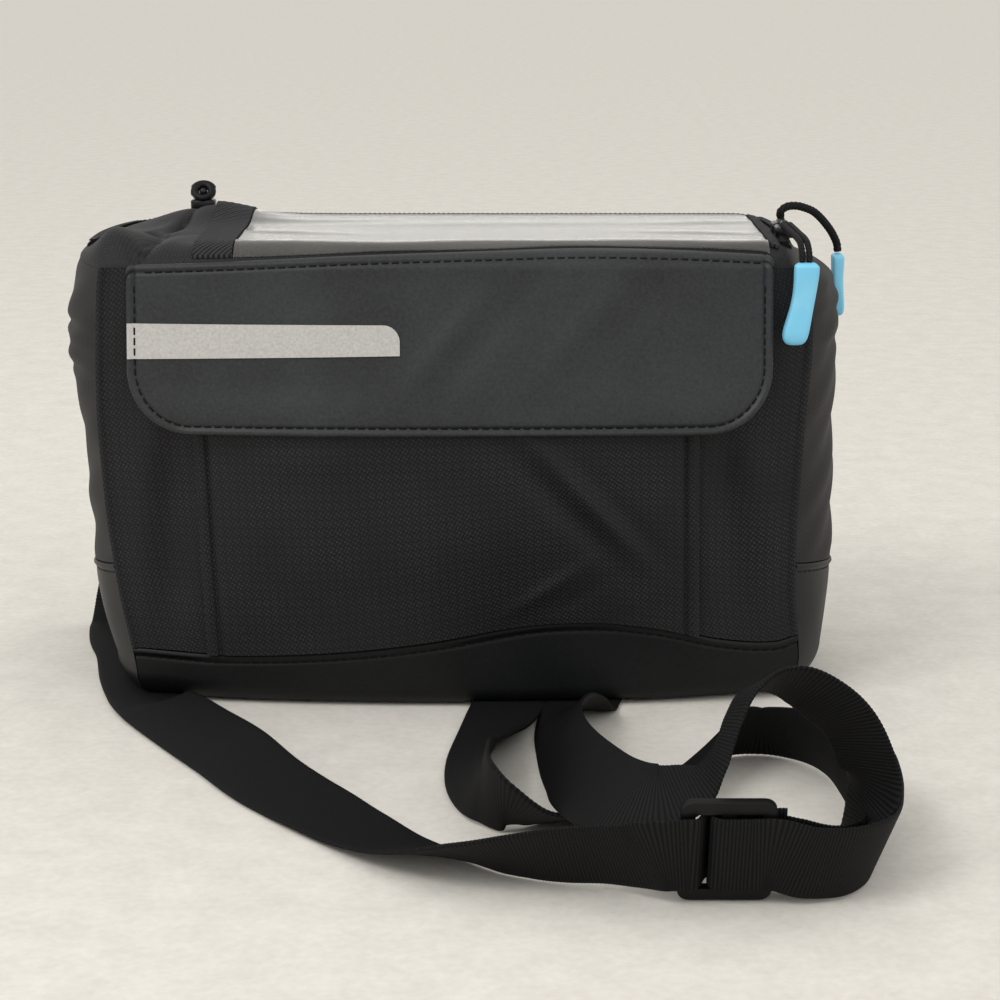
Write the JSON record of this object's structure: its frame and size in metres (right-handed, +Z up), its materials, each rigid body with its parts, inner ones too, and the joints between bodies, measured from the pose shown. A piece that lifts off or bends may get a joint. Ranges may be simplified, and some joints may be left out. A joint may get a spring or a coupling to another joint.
{
  "type": "handlebar bag",
  "caption": "Soft handlebar bag with a flap-covered front pocket, a zipped lid with a clear map window, coated lower bands and an adjustable webbing shoulder strap.",
  "frame": {"origin": "middle of the flat base, on the surface the bag stands on", "axes": "+X to the bag's right as seen from its front, +Y to its back, +Z up"},
  "size_m": [0.2795, 0.2946, 0.1715],
  "materials": {
    "coated_cloth": "satin polymer coating with a fine grain",
    "wall_cloth": "matte woven cloth with a fine grid",
    "lid_cloth": "matte coated cloth",
    "stripe_tape": "grey retroreflective tape",
    "clear_film": "clear soft film with folds",
    "binding_tape": "ribbed tape",
    "zip_tape": "woven tape over moulded teeth",
    "zip_metal": "black gloss paint",
    "pull_cord": "braided cord",
    "pull_rubber": "soft matte",
    "webbing": "ribbed webbing",
    "acetal": "moulded satin"
  },
  "bodies": {
    "root": {"base_panel": "coated_cloth", "front_band": "coated_cloth", "side_band_right": "coated_cloth", "side_band_left": "coated_cloth", "front_panel": "wall_cloth", "side_panel_right": "wall_cloth", "side_panel_left": "wall_cloth", "back_panel": "wall_cloth", "front_pocket": "wall_cloth", "front_flap": "coated_cloth", "reflective_stripe": "stripe_tape", "lid": "lid_cloth", "map_window": "clear_film", "window_binding_left": "binding_tape", "window_binding_right": "binding_tape", "lid_zip": "zip_tape", "zip_slider_left": "zip_metal", "zip_slider_right_front": "zip_metal", "zip_slider_right_back": "zip_metal", "pull_loop_left": "pull_cord", "pull_cord_front": "pull_cord", "pull_cord_side": "pull_cord", "pull_end_front": "pull_rubber", "pull_end_side": "pull_rubber", "shoulder_strap": "webbing", "strap_slider": "acetal", "strap_ring": "acetal", "strap_tab_right": "webbing", "strap_tab_left": "webbing"}
  },
  "joints": []
}
